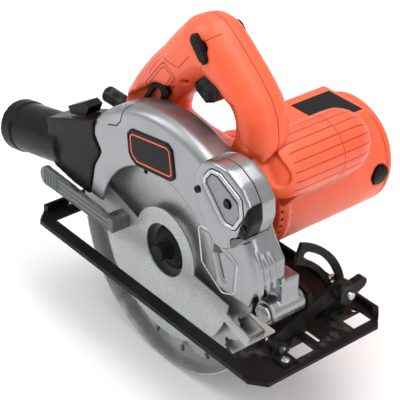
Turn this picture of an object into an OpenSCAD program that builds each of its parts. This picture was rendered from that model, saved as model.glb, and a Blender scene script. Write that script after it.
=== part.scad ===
/* [Blade] */
// Blade diameter
blade_d = 190; // [180:1:194]
// Thickness of the blade's steel body
blade_t = 1.6; // [1.2:0.1:2]
// Width of the cut that the carbide tips make
kerf = 2.4; // [2.2:0.1:2.8]
// Number of teeth
teeth = 18; // [12:1:30]
// Blade bore
bore_d = 16; // [16:1:20]
// Diameter of the two clamping flanges
flange_d = 37; // [32:1:38]

/* [Shoe] */
// Length of the shoe, front to back
shoe_l = 286; // [280:1:330]
// Width of the shoe
shoe_w = 134; // [128:1:170]
// Thickness of the pressed steel
shoe_t = 3; // [2:0.5:3]
// Height of the turned-up edges
shoe_lip = 9; // [6:1:12]
// Height of the low bead on the blade side, under the retracting lever
near_lip = 4.2; // [4:0.1:4.2]
// Height of the blade's axis over the sole at full depth
hub_h = 31; // [31:1:34]
// Distance from the shoe's blade-side edge to the blade
edge_to_blade = 39; // [38:1:42]

/* [Guards] */
// Outer radius of the upper guard
upper_r = 117; // [115:1:122]
// Wall of the cast upper guard
upper_wall = 3; // [2.5:0.5:3.5]
// Distance from the blade to the upper guard's outer face
face_y = 17; // [17:0.5:19]
// Outer radius of the lower guard
lower_r = 105; // [103:0.5:106]
// Wall of the lower guard
lower_wall = 1.5; // [1.2:0.1:2]
// Length of the retracting lever from the blade's axis
lever_l = 146; // [136:1:150]

/* [Motor] */
// Outer radius of the motor housing
motor_r = 47; // [46:1:48]
// Distance from the blade to the far end of the motor
motor_end = 180; // [175:1:190]
// Wall of the plastic housings
plastic_wall = 3; // [2.5:0.5:3.5]
// Gear module
gear_mod = 1.15; // [1.15]
// Teeth of the drive gear
gear_teeth = 40; // [40]
// Teeth of the pinion
pinion_teeth = 10; // [10]

/* [Handle] */
// Distance from the blade to the handle's parting plane
handle_y = 30; // [30:1:32]
// Half of the grip's thickness
grip_half = 20; // [18:0.5:20]

/* [Dust port] */
// Outer diameter of the dust spout
port_d = 43; // [40:1:46]
// Inner diameter of the dust spout
port_bore_d = 37; // [32:1:38]
// Length of the dust spout
port_l = 82; // [70:1:95]
// Angle that the spout drops towards the rear
port_drop = 13; // [8:1:15]

/* [Hidden] */
$fn = 64;
eps = 0.01;
fit = 0.05;

silver = [0.66, 0.68, 0.68];
orange = [0.94, 0.36, 0.2];
black = [0.16, 0.14, 0.13];
steel = [0.78, 0.8, 0.8];
grey = [0.45, 0.48, 0.48];

// The blade's axis over the shoe; everything below is drawn around it.
hub = [-3, edge_to_blade - shoe_w / 2, hub_h];
blade_r = blade_d / 2;

// The shoe's outline and its blade opening, seen from the blade's axis
shoe_rear = -hub[0] - shoe_l / 2;
shoe_front = -hub[0] + shoe_l / 2;
shoe_near = -edge_to_blade;
shoe_far = shoe_w - edge_to_blade;
sole_z = -hub_h;
shoe_top = sole_z + shoe_t;
slot_rear = shoe_rear + 16;
slot_front = lower_r - 1;
slot_near = shoe_near + 12;
slot_far = 19.5;

// Stack along the spindle, from the blade's centre plane towards the motor
flange_t = 2.6;
boss_r = 20;
boss_y = blade_t / 2 + flange_t + 0.5;
clip_t = 1;
guard_back_y = boss_y + clip_t + 0.4;
lower_front_y = 9;
upper_back_y = 12;
case_y0 = upper_back_y;
case_wall = 2;
gear_y0 = 24;
gear_t = 12;
plate_y0 = 44;
plate_t = 4;
motor_y0 = plate_y0 + plate_t + 2;

// Gear train
gear_r = gear_mod * gear_teeth / 2;
pinion_r = gear_mod * pinion_teeth / 2;
gear_centres = gear_r + pinion_r + 0.1;
gear_line = 62;
motor_axis = [gear_centres * cos(gear_line), gear_centres * sin(gear_line)];
motor_centre = [18, 40];
case_r = gear_r + gear_mod + 1 + case_wall;
spindle_r = 6;
shaft_r = 4;
bearing_r = 13;
bearing_w = 8;

// Depth pivot and its rail at the rear
pivot_x = slot_front + 4;
pivot_r = 5;
barrel_r = 10;
barrel_l = 32;
depth_r = pivot_x + 80;
rail_y = 15;
rail_t = 3;
rail_half = 8;
rail_slot_half = 4.3;
rail_top = 37;
rail_foot = [-96, -20];

// Bevel hinge along the shoe and its quadrant at the front
bevel_y = 0;
bevel_z = shoe_top + 5.5;
bevel_pin_r = 2.5;
knuckle_r = 5;
quad_x = 110;
quad_t = 3;
quad_slot_r = 70;
quad_in = 62;
quad_out = 79.5;
bevel_bolt_r = 3;
bevel_rest = 17;
bevel_max = 45;

// Upper guard
upper_c = [2, 3];
upper_rear_z = 12;
upper_front_z = 10;
opening_r = 71;
rim_round = 9;
back_round = 5;

// Handle outline, rear base round the top to the front leg
handle_outer = [[-66, 40], [-84, 52], [-92, 68], [-91, 84], [-84, 101], [-73, 118], [-59, 136],
    [-43, 153], [-28, 171], [-14, 186], [0, 193], [15, 192], [31, 182], [54, 164], [68, 151],
    [76, 138], [79, 120], [76, 100], [70, 78], [62, 50], [52, 26], [40, 4], [24, -22],
    [0, -26], [-26, -22], [-42, 0], [-52, 22]];
handle_hole = [[36, 100], [41, 114], [40, 125], [35, 134], [25, 141], [10, 145], [-2, 134],
    [-14, 122], [-27, 108], [-30, 97], [-10, 94], [14, 94]];

function polar(r, a, c = [0, 0]) = [c[0] + r * cos(a), c[1] + r * sin(a)];
function unit(v) = v / norm(v);
// A closed outline moved inwards by d; its points run clockwise
function inset(pts, d) = let (n = len(pts)) [for (i = [0:n - 1])
    let (a = unit(pts[i] - pts[(i + n - 1) % n]), b = unit(pts[(i + 1) % n] - pts[i]),
        m = unit([a[1] + b[1], -a[0] - b[0]]))
    pts[i] + m * d / max(0.5, m * [b[1], -b[0]])];

module at_hub() translate(hub) children();
// 2D drawing in X and Z, given thickness from y0 to y1
module y_slab(y0, y1) rotate([90, 0, 0]) translate([0, 0, -y1]) linear_extrude(y1 - y0) children();
// 2D drawing in Y and Z, given thickness from x0 to x1
module x_slab(x0, x1) rotate([90, 0, 90]) translate([0, 0, x0]) linear_extrude(x1 - x0) children();
module y_rod(r, y0, y1, c = [0, 0]) translate([c[0], y0, c[1]]) rotate([-90, 0, 0]) cylinder(r = r,
    h = y1 - y0);
module x_rod(r, x0, x1, y, z) translate([x0, y, z]) rotate([0, 90, 0]) cylinder(r = r, h = x1 - x0);
// A turned shape about Y: profile points are [radius, y]
module turned(c = [0, 0]) translate([c[0], 0, c[1]]) rotate([90, 0, 0]) mirror([0, 0,
    1]) rotate_extrude($fn = 96) children();
module box(p, q) translate(p) cube(q - p);
module sector(r0, r1, a0, a1) intersection() {
    difference() {
        circle(r1, $fn = 128);
        circle(r0, $fn = 128);
    }
    polygon(concat([[0, 0]], [for (i = [0:8]) polar(r1 * 1.3, a0 + (a1 - a0) * i / 8)]));
}
// A round bar with rounded ends, drawn flat
module bar2d(a, b, ra, rb) {
    d = unit(b - a);
    n = [-d[1], d[0]];
    translate(a) circle(ra);
    translate(b) circle(rb);
    polygon([a + n * ra, b + n * rb, b - n * rb, a - n * ra]);
}
module cap_screw(r, head_r, head_h, length) {
    difference() {
        cylinder(r = head_r, h = head_h, $fn = 32);
        translate([0, 0, head_h / 2]) cylinder(r = head_r * 0.5, h = head_h, $fn = 6);
    }
    translate([0, 0, -length]) cylinder(r = r, h = length + eps, $fn = 32);
}

// ---- Shoe -------------------------------------------------------------------

module shoe_outline(d = 0) {
    c = 12;
    x0 = shoe_rear + d;
    x1 = shoe_front - d;
    y0 = shoe_near + d;
    y1 = shoe_far - d;
    polygon([[x0 + c, y0], [x1 - c, y0], [x1, y0 + c * 0.8], [x1, y1 - c], [x1 - c, y1],
        [x0 + c, y1], [x0, y1 - c], [x0, y0 + c]]);
}
fence_windows = [[123, 5], [123, 66]];
module shoe_openings() {
    polygon([[slot_rear, slot_near], [slot_front, slot_near], [slot_front, 15],
        [slot_front - 4, slot_far], [slot_rear, slot_far]]);
    for (w = fence_windows) translate(w) square([14, 21]);
    translate([115, 33]) square([17, 5]);
}
// Where the plate's edge is turned up, to the given height over the sole
module turned_edge(height) translate([0, 0,
    shoe_top - eps]) linear_extrude(height - shoe_t + eps) intersection() {
    difference() {
        shoe_outline();
        shoe_outline(shoe_t);
    }
    union() children();
}
module shoe_plate() color(black) at_hub() difference() {
    union() {
        translate([0, 0, sole_z]) linear_extrude(shoe_t) difference() {
            shoe_outline();
            shoe_openings();
        }
        turned_edge(shoe_lip) {
            translate([shoe_rear - 1, shoe_far - 7]) square([shoe_l + 2, 8]);
            translate([shoe_rear - 1, slot_near]) square([8, shoe_w]);
        }
        turned_edge(near_lip) translate([shoe_rear - 1, shoe_near - 1]) square([shoe_l - 16, 8]);
    }
    for (x = [-100, -60, 120]) translate([x, shoe_far - 12, sole_z - 1]) cylinder(r = 2.6, h = shoe_t + 2);
}
module bevel_quadrant() color(black) at_hub() {
    difference() {
        x_slab(quad_x, quad_x + quad_t) difference() {
            union() {
                translate([bevel_y, bevel_z]) sector(quad_in, quad_out, 6, 70);
                polygon([[54, shoe_top], [bevel_y + quad_out + 1, shoe_top], [bevel_y + quad_out + 1, -14],
                    [bevel_y + quad_in, -8]]);
            }
            translate([bevel_y, bevel_z]) {
                sector(quad_slot_r - bevel_bolt_r - 0.4, quad_slot_r + bevel_bolt_r + 0.4,
                    bevel_rest, bevel_rest + bevel_max);
                for (a = [bevel_rest, bevel_rest + bevel_max]) translate(polar(quad_slot_r,
                    a)) circle(bevel_bolt_r + 0.4);
            }
        }
    }
    box([quad_x - 14, 54, shoe_top], [quad_x + eps, bevel_y + quad_out + 1, shoe_top + 2.5]);
}
rivet_spots = [[quad_x - 8, 60], [quad_x - 8, 77], [135, -3], [-133, -3]];
module shoe_rivets() color(steel) at_hub() for (s = rivet_spots)
    translate([s[0], s[1], shoe_top + 2.5]) rotate_extrude($fn = 32) polygon([[0, 0], [3.4, 0],
        [2.6, 1.2], [0, 1.6]]);

// An upright ear that carries one of the two bevel pins
module bevel_ear(x0, x1, foot) at_hub() difference() {
    union() {
        x_slab(x0, x1) difference() {
            union() {
                translate([bevel_y, bevel_z]) circle(knuckle_r + 1);
                polygon([[bevel_y - 9, shoe_top], [bevel_y + 9, shoe_top],
                    [bevel_y + knuckle_r, bevel_z + 2],
                    [bevel_y - knuckle_r, bevel_z + 2]]);
            }
            translate([bevel_y, bevel_z]) circle(bevel_pin_r);
            translate([bevel_y - 20, shoe_top - 10]) square([40, 10]);
        }
        box([min(foot), bevel_y - 9, shoe_top], [max(foot), bevel_y + 4, shoe_top + 2.5]);
    }
}
front_ear = [124, 127];
rear_ear = [-129, -126];
module front_bevel_ear() color(black) bevel_ear(front_ear[0], front_ear[1], [front_ear[1] - eps, 141]);
module rear_bevel_ear() color(black) bevel_ear(rear_ear[0], rear_ear[1], [rear_ear[0] + eps, -136]);
front_knuckle = [112 + quad_t, front_ear[0] - 0.4];
rear_knuckle = [rear_ear[1] + 0.4, rear_ear[1] + 13];
module bevel_pins() color(steel) at_hub() {
    for (p = [[front_knuckle[0] - 3, front_ear[1] + 0.5, front_ear[1]],
        [rear_ear[0] - 0.5, rear_knuckle[1] + 2, rear_ear[0] - 1.5]]) {
        x_rod(bevel_pin_r, p[0], p[1], bevel_y, bevel_z);
        x_rod(bevel_pin_r + 0.4, p[2], p[2] + 1.5, bevel_y, bevel_z);
    }
}

// ---- Bevel bracket with the depth pivot -------------------------------------

ear_y = [barrel_l + 0.6, barrel_l + 4.6];
bolt_at = polar(quad_slot_r, bevel_rest, [bevel_y, bevel_z]);
module bevel_bracket() color(black) at_hub() difference() {
    union() {
        x_rod(knuckle_r, front_knuckle[0], front_knuckle[1], bevel_y, bevel_z);
        x_slab(front_knuckle[0], front_knuckle[0] + 3) {
            bar2d([bevel_y, bevel_z], bolt_at, knuckle_r, 8);
            polygon([[bevel_y, bevel_z - knuckle_r], [ear_y[1], shoe_top + 2], [ear_y[1], 8], [ear_y[0], 8],
                [ear_y[0], -barrel_r - 1.5], [bevel_y + 6, bevel_z + knuckle_r],
                    [bevel_y, bevel_z + knuckle_r]]);
        }
        y_slab(ear_y[0], ear_y[1]) {
            translate([pivot_x, 0]) circle(11);
            polygon([[pivot_x - 11, 0], [pivot_x + 8, 8], [front_knuckle[0] + 3, 8],
                [front_knuckle[0] + 3, shoe_top + 2], [pivot_x - 4, shoe_top + 2]]);
        }
    }
    y_rod(barrel_r + 0.5, -10, barrel_l + 0.3, [pivot_x, 0]);
    x_rod(bevel_pin_r + fit, 100, front_ear[0], bevel_y, bevel_z);
    x_rod(bevel_bolt_r, 100, 130, bolt_at[0], bolt_at[1]);
    y_rod(pivot_r, ear_y[0] - 1, ear_y[1] + 1, [pivot_x, 0]);
}
module depth_pin() color(steel) at_hub() {
    y_rod(pivot_r, -1.4, ear_y[1] + 2, [pivot_x, 0]);
    y_rod(7.5, -3.8, -1.4 + eps, [pivot_x, 0]);
}
module bevel_bolt() color(steel) at_hub() {
    x_rod(bevel_bolt_r, quad_x - 0.4, front_knuckle[0] + 16, bolt_at[0], bolt_at[1]);
    x_rod(7, quad_x - 3.4, quad_x - 0.4, bolt_at[0], bolt_at[1]);
}
module bevel_lever() color(black) at_hub() difference() {
    union() {
        x_rod(9, front_knuckle[0] + 3.4, front_knuckle[0] + 13, bolt_at[0], bolt_at[1]);
        x_slab(front_knuckle[0] + 6, front_knuckle[0] + 12) bar2d(bolt_at, bolt_at + [14, 4], 7, 5);
    }
    x_rod(bevel_bolt_r + fit, 100, 150, bolt_at[0], bolt_at[1]);
}
module rear_bracket() color(black) at_hub() difference() {
    union() {
        x_rod(knuckle_r, rear_knuckle[0], rear_knuckle[1], bevel_y, bevel_z);
        x_slab(rear_knuckle[0], rear_knuckle[0] + 3)
            polygon([[bevel_y, bevel_z - knuckle_r], [rail_y + rail_t, bevel_z - knuckle_r],
                [rail_y + rail_t, 0], [rail_y - 4, 0], [bevel_y, bevel_z + knuckle_r]]);
        y_slab(rail_y, rail_y + rail_t) polygon([[rear_knuckle[0], bevel_z - knuckle_r],
            [rail_foot[0], bevel_z - knuckle_r],
            [rail_foot[0], -6], [rail_foot[0] - 12, 0], [rear_knuckle[0], 0]]);
    }
    x_rod(bevel_pin_r + fit, rear_ear[0], -100, bevel_y, bevel_z);
}
module depth_rail() color(steel) at_hub() y_slab(rail_y, rail_y + rail_t) {
    translate([pivot_x, 0]) difference() {
        sector(depth_r - rail_half, depth_r + rail_half, 180 - rail_top - 4, 185);
        sector(depth_r - rail_slot_half, depth_r + rail_slot_half, 180 - rail_top, 180);
        for (a = [180 - rail_top, 180]) translate(polar(depth_r, a)) circle(rail_slot_half);
    }
    translate(rail_foot) square([20, 12]);
}

// ---- Upper guard ------------------------------------------------------------

// Outside of the guard: a round drum with a rounded front rim
module guard_drum() turned(upper_c) {
    difference() {
        union() {
            translate([0, -face_y]) square([upper_r - rim_round, face_y + upper_back_y]);
            translate([0, rim_round - face_y]) square([upper_r,
                upper_back_y - back_round + face_y - rim_round]);
            square([upper_r - back_round, upper_back_y]);
            translate([upper_r - rim_round, rim_round - face_y]) circle(rim_round);
            translate([upper_r - back_round, upper_back_y - back_round]) circle(back_round);
        }
        translate([-30, -face_y - 5]) square([30, 60]);
    }
}
module guard_hollow() turned(upper_c) {
    w = upper_wall;
    translate([0, w - face_y]) square([upper_r - rim_round, rim_round]);
    translate([0, rim_round - face_y]) square([upper_r - w,
        upper_back_y - back_round + face_y - rim_round]);
    translate([0, 0]) square([upper_r - back_round, upper_back_y - w]);
    translate([upper_r - back_round, upper_back_y - back_round]) circle(back_round - w);
    translate([upper_r - rim_round, rim_round - face_y]) intersection() {
        circle(rim_round - w);
        translate([0, -rim_round]) square(2 * rim_round);
    }
}
// Where the dust spout's adapter takes over from the casting
module port_side() polygon([[-200, upper_rear_z], [-87, upper_rear_z], [-81, 42], [-72, 58],
    [-81, 69], [-81, 86],
    [-97, 100], [-200, 100]]);
cap_a = [117, 134];
module cap_zone(d) y_slab(-face_y + 5 - d,
    upper_back_y + 1) translate(upper_c) sector(upper_r - 12 - d, upper_r + 2, cap_a[0] - d / 2,
    cap_a[1] + d / 2);
module guard_shell() difference() {
    guard_drum();
    guard_hollow();
    y_rod(opening_r, -face_y - 1, -face_y + upper_wall + 1);
    y_rod(case_r + 0.2, 0, upper_back_y + 1);
    box([-150, -40, -150], [150, 40, upper_front_z]);
    box([-150, -40, -150], [0, 40, upper_rear_z]);
    y_slab(-40, 40) port_side();
    y_slab(-40, 40) polygon([[pivot_x - 4, 0], [140, 0], [140, 32], [pivot_x + 5, 32]]);
}
// The ribbed arm from the guard's front rim down to the depth pivot's barrel
module pivot_arm() {
    difference() {
        union() {
            y_slab(-12, upper_back_y) polygon([[98, 26], [114, 26], [112, 46], [104, 56], [94, 56]]);
            y_slab(-1, 26) polygon([[pivot_x - 9, 3], [pivot_x + 8, 3], [114, 27], [98, 27]]);
            for (i = [0:2]) y_slab(-13.5 + i * 6, -11 + i * 6) polygon([[110, 8 + i], [117, 27],
                [114, 48], [105, 57], [100, 40]]);
        }
        guard_hollow();
        y_rod(lower_r - 3, -20, upper_back_y - upper_wall);
        y_rod(pivot_r + fit, -20, 40, [pivot_x, 0]);
    }
    difference() {
        y_rod(barrel_r, -1, barrel_l, [pivot_x, 0]);
        y_rod(pivot_r + fit, -20, 40, [pivot_x, 0]);
    }
}
module rotation_arrow() y_slab(-face_y - 0.8, -face_y + eps) {
    sector(80, 86, 14, 30);
    polygon([polar(76, 30), polar(90, 30), polar(83, 40)]);
}
module upper_guard() color(silver) at_hub() {
    difference() {
        union() {
            guard_shell();
            pivot_arm();
            rotation_arrow();
        }
        cap_zone(0.15);
        for (s = case_screw_spots) y_rod(2.2, 5, 20, s);
    }
}
module chute_cap() color(silver) at_hub() intersection() {
    guard_shell();
    cap_zone(0);
}
module guard_badge() color(black) at_hub() y_slab(-face_y - 0.8, -face_y)
    polygon([[-31, 72], [-34, 76], [-36, 91], [-32, 96], [11, 103], [16, 100], [20, 79], [16, 75],
        [-25, 69]]);

// ---- Laser ------------------------------------------------------------------

laser_y0 = -36;
laser_y1 = -10;
laser_outline = [[62, 98], [64, 113], [71, 124], [84, 129], [98, 129], [112, 122], [121, 111],
    [123, 98], [119, 84], [108, 71], [96, 63], [86, 63], [74, 76]];
module laser_pod_solid(d) y_slab(laser_y0 + d, laser_y1 - d) polygon(inset(laser_outline, d));
module laser_housing() color(silver) at_hub() difference() {
    laser_pod_solid(0);
    difference() {
        laser_pod_solid(2.5);
        translate([-3, 0, -3]) guard_drum();
    }
    guard_drum();
    y_slab(laser_y0 - 1, laser_y0 + 2) laser_cover_outline(0.15);
    y_rod(4, laser_y0 - 1, -30, laser_switch_at);
    laser_window(0.15);
    for (s = laser_screw_spots) y_rod(1.4, laser_y0 - 1, laser_y0 + 9, s);
}
module laser_cover_outline(d) polygon(inset([[72, 104], [74, 113], [80, 119], [88, 119],
    [110, 108], [112, 100], [106, 88], [98, 84], [90, 87]], -d));
module laser_cover() color(black) at_hub() difference() {
    y_slab(laser_y0, laser_y0 + 2) laser_cover_outline(0);
    y_rod(4, laser_y0 - 1, -30, laser_switch_at);
}
laser_switch_at = [100, 104];
module laser_switch() color(black) at_hub() {
    y_rod(3, laser_y0 - 1.5, laser_y0 + 6, laser_switch_at);
}
module laser_window(d) y_slab(laser_y0 - 0.5 * d, laser_y0 + 12) polygon(inset([[104, 76],
    [116, 84], [113, 70], [105, 66.5]], -d));
module laser_lens() color([0.1, 0.1, 0.12]) at_hub() intersection() {
    laser_window(0);
    laser_pod_solid(0.5);
}
module laser_module() color(steel) at_hub() y_slab(-28, -20) polygon([[86, 106], [94, 112],
    [108, 92], [100, 86]]);
laser_screw_spots = [[117, 92], [68, 100]];
module laser_screws() color(steel) at_hub() for (s = laser_screw_spots)
    translate([s[0], laser_y0 + 0, s[1]]) rotate([90, 0, 0]) cap_screw(1.4, 2.6, 1, 8);

// ---- Gear case and spindle --------------------------------------------------

module case_outline(d = 0) {
    bar2d([0, 0], motor_axis, case_r + d, bearing_r + 4 + d);
}
case_screw_spots = [for (a = [40, 75, 110, 145]) polar(case_r + 5, a)];
module gear_case() color(silver) at_hub() difference() {
    union() {
        y_slab(case_y0, plate_y0) case_outline();
        y_rod(boss_r, boss_y, case_y0 + eps);
        y_slab(case_y0, case_y0 + 6) difference() {
            for (s = case_screw_spots) bar2d([0, 0], s, 12, 4.5);
            translate(motor_axis) circle(5);
        }
        y_slab(case_y0, rail_y - 0.5) bar2d([0, 0], [pivot_x - depth_r, 0], 14, 9);
    }
    y_slab(gear_y0 - 2, plate_y0 + 1) case_outline(-case_wall);
    y_rod(bearing_r, 13, gear_y0, [0, 0]);
    y_rod(spindle_r + 1, boss_y - 1, 20);
    y_rod(shaft_r + 2, case_y0 + 2, 30, motor_axis);
    for (s = case_screw_spots) y_rod(2, case_y0 - 1, case_y0 + 7, s);
    y_rod(4, case_y0 - 1, case_y0 + 7, [pivot_x - depth_r, 0]);
    x_rod(lock_r + fit, -50, -20, lock_at[0], lock_at[1]);
    turned() translate([boss_r - 1, boss_y + 0.3]) square([2, clip_t + 0.1]);
}
module bearing_plate() color(silver) at_hub() difference() {
    union() {
        y_rod(case_r, plate_y0, plate_y0 + plate_t);
        y_rod(bearing_r + 4, plate_y0, plate_y0 + plate_t, motor_axis);
        y_slab(plate_y0, plate_y0 + plate_t) rotate(gear_line) polygon([[0, -case_r + 2],
            [gear_centres, -bearing_r - 3],
            [gear_centres, bearing_r + 3], [0, case_r - 2]]);
    }
    y_rod(spindle_r + 3, plate_y0 - 1, plate_y0 + plate_t + 1);
    y_rod(bearing_r - 2, plate_y0 - 1, plate_y0 + plate_t + 1, motor_axis);
}
// A ball bearing drawn as two rings, its shaft running in the inner one
module bearing(y0, c, r_in, r_out, w) y_slab(y0, y0 + w) translate(c) difference() {
    circle(r_out);
    circle(r_in + fit);
}
module ball_bearings() color(steel) at_hub() {
    bearing(13, [0, 0], spindle_r, bearing_r, bearing_w);
    bearing(plate_y0, [0, 0], spindle_r - 2, spindle_r + 3, plate_t);
    bearing(plate_y0, motor_axis, shaft_r, bearing_r - 2, plate_t);
    bearing(motor_end - 12, motor_axis, shaft_r, 9, 7);
}
module guard_retainer() color(steel) at_hub() y_slab(boss_y + 0.3, boss_y + 0.3 + clip_t) difference() {
    circle(boss_r + 2);
    circle(boss_r - 1 + 0.05);
    translate([-boss_r - 5, -4]) square([10, 8]);
}
module spindle() color(steel) at_hub() {
    y_rod(spindle_r, blade_t / 2 + flange_t, gear_y0 + gear_t + 3);
    y_rod(spindle_r - 2, gear_y0 + gear_t + 2, plate_y0 + plate_t);
    y_rod(bore_d / 2 - 3, -blade_t / 2 - 2, blade_t / 2 + flange_t + eps);
}
module gear_2d(n, tip, root) {
    circle(root);
    for (i = [0:n - 1]) rotate(i * 360 / n) polygon([polar(root - 0.5, -0.26 * 360 / n), polar(tip,
        -0.11 * 360 / n),
        polar(tip, 0.11 * 360 / n), polar(root - 0.5, 0.26 * 360 / n)]);
}
module drive_gear() color(steel) at_hub() y_slab(gear_y0, gear_y0 + gear_t) difference() {
    gear_2d(gear_teeth, gear_r + gear_mod * 0.9, gear_r - gear_mod * 1.1);
    circle(spindle_r);
}
module inner_flange() color(steel) at_hub() difference() {
    union() {
        y_rod(flange_d / 2, blade_t / 2, blade_t / 2 + flange_t);
        y_rod(bore_d / 2, -blade_t / 2, blade_t / 2 + eps);
    }
    y_rod(bore_d / 2 - 3, -5, 10);
}
tip_r = [blade_r - 5.5, blade_r];
pitch = 360 / teeth;
module saw_blade() color(steel) at_hub() difference() {
    union() {
        y_rod(blade_r - 9, -blade_t / 2, blade_t / 2);
        for (i = [0:teeth - 1]) y_slab(-blade_t / 2, blade_t / 2) rotate(i * pitch)
            polygon([polar(blade_r - 14, 0), polar(tip_r[0], 0), polar(tip_r[0],
                -1.6), polar(blade_r - 1, -1.6),
                polar(blade_r - 1.6, -pitch * 0.25), polar(blade_r - 5, -pitch * 0.5),
                polar(blade_r - 9.5, -pitch * 0.62), polar(blade_r - 14, -pitch * 0.5)]);
    }
    y_rod(bore_d / 2, -5, 5);
    for (i = [0:teeth - 1]) y_rod(3.2, -5, 5, polar(blade_r - 9.5, (i + 0.2) * pitch));
    // Three expansion slots, each running in from a gullet
    for (i = [0:2]) y_slab(-5, 5) rotate((i * round(teeth / 3) + 0.2) * pitch) {
        translate([blade_r - 32, -0.5]) square([22, 1]);
        translate([blade_r - 32, 0]) circle(2.5);
    }
}
module carbide_tips() color(steel) at_hub() y_slab(-kerf / 2, kerf / 2)
    for (i = [0:teeth - 1]) rotate(i * pitch) polygon([polar(tip_r[0], 0), polar(tip_r[1],
        0), polar(blade_r - 0.3, -1.6), polar(tip_r[0], -1.6)]);
module outer_flange() color(black) at_hub() difference() {
    turned() polygon([[0, -blade_t / 2], [flange_d / 2, -blade_t / 2], [flange_d / 2, -2.4],
        [flange_d / 2 - 3, -4.4], [9, -6.4], [0, -6.4]]);
    y_rod(bore_d / 2 - 3, -20, 1);
}
module blade_bolt() color(black) at_hub() {
    y_rod(9, -7.9, -6.4);
    y_slab(-16, -7.9 + eps) circle(7.2, $fn = 6);
    y_rod(bore_d / 2 - 3, -6.4 - eps, -blade_t / 2 - 2);
}

// ---- Lower guard ------------------------------------------------------------

guard_rear_a = 172;
guard_front_a = 347;
plate_r = 77;
module lower_guard() color(steel) at_hub() difference() {
    union() {
        y_slab(guard_back_y, guard_back_y + lower_wall) {
            sector(boss_r - 2, lower_r, guard_rear_a, guard_front_a);
            circle(boss_r + 8);
        }
        y_slab(-lower_front_y, guard_back_y + eps) sector(lower_r - lower_wall, lower_r,
            guard_rear_a, guard_front_a);
        y_slab(-lower_front_y, lower_wall - lower_front_y) {
            sector(30, plate_r, guard_rear_a - 10, guard_front_a + 6);
            sector(plate_r - 5, lower_r, guard_front_a - 6, guard_front_a);
            sector(plate_r - 5, lower_r, guard_rear_a, guard_rear_a + 9);
            circle(36);
        }
    }
    y_rod(boss_r + fit, 0, 20);
    y_rod(flange_d / 2 + 4, -20, 0);
    for (s = guard_rivet_spots) y_rod(1.5, -20, 0, s);
}
guard_rivet_spots = [polar(50, 172), polar(50, 178)];
module guard_rivets() color(steel) at_hub() for (s = guard_rivet_spots) {
    y_rod(1.5, -lower_front_y - 1, lower_wall - lower_front_y + 1, s);
    y_rod(3, lower_wall - lower_front_y, lower_wall - lower_front_y + 1.2, s);
}
lever_y = [-face_y - 9.5, -face_y - 4.5];
lever_low = -1.5;
lever_tip = [-lever_l + 10, 7];
module guard_lever() color(grey) at_hub() difference() {
    union() {
        y_slab(lever_y[0], -lower_front_y) polygon([[-57, lever_low], [-57, 10], [-44, 10],
            [-44, lever_low]]);
        y_slab(lever_y[0], lever_y[1]) polygon([[-45, lever_low], [-45, 10], [-lever_l + 40, 15],
            lever_tip + [0, 8.6],
            lever_tip - [0, 8.6], [-lever_l + 40, -1]]);
        y_rod(9, lever_y[0], lever_y[1], lever_tip);
        for (i = [0:4]) y_slab(lever_y[0] - 1.2,
            lever_y[0] + eps) translate([lever_tip[0] + 14 - i * 4.2,
            lever_tip[1] - 6.5]) square([2.4, 13]);
    }
    for (s = guard_rivet_spots) y_rod(1.5, -lower_front_y - 1, 0, s);
}
module guard_spring() color(steel) at_hub() y_slab(guard_back_y + lower_wall + 0.2,
    upper_back_y - upper_wall - 0.1) difference() {
    circle(boss_r + 5);
    circle(boss_r + 3.5);
}

// ---- Dust port --------------------------------------------------------------

port_c = [-210, 15];
port_y = 0;
module spout(r, len, from = 0) translate([port_c[0], port_y, port_c[1]]) rotate([0, 90 - port_drop,
    0]) translate([0, 0, from]) cylinder(r = r, h = len);
module adapter_outline(d) polygon(inset([[-110, upper_rear_z], [-136, 16], [-146, 56], [-98, 76], [-81, 82],
    [-81, 69], [-72, 58], [-81, 42], [-87, upper_rear_z]], d));
module dust_port() color(black) at_hub() difference() {
    union() {
        y_slab(-face_y - 1, upper_back_y) adapter_outline(0);
        spout(port_d / 2, port_l);
        spout(port_d / 2 + 1.2, 14);
    }
    y_slab(-face_y + 2, upper_back_y - 3) difference() {
        adapter_outline(2.5);
        translate([-160, 0]) square([30, 100]);
    }
    spout(port_bore_d / 2, port_l - 6, -1);
    y_rod(lower_r + 1.5, -face_y + 2, upper_back_y - 3);
}
module port_clip() color(black) at_hub() y_slab(-10, 4) polygon([[-122, 67.2], [-101, 75.1],
    [-97, 84], [-104, 86], [-126, 73]]);

// ---- Handle and housings ----------------------------------------------------

half_near = rail_y + rail_t + 1;
grip_near = handle_y - grip_half;
grip_far = handle_y + grip_half;
module handle_shape(d) difference() {
    polygon(inset(handle_outer, d));
    // The opening's points run the other way, so it grows
    polygon(inset(handle_hole, d));
}
// Everything of the handle that stands clear of the upper guard
module above_guard(d) polygon(inset([[-120, 84], [-120, 210], [100, 210], [100, 96], [44, 124],
    [8, 130], [-40, 124],
    [-94, 84]], d));
module above_base() polygon([[-120, 78], [-120, 210], [100, 210], [100, 96], [60, 84], [-40, 84]]);
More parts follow.
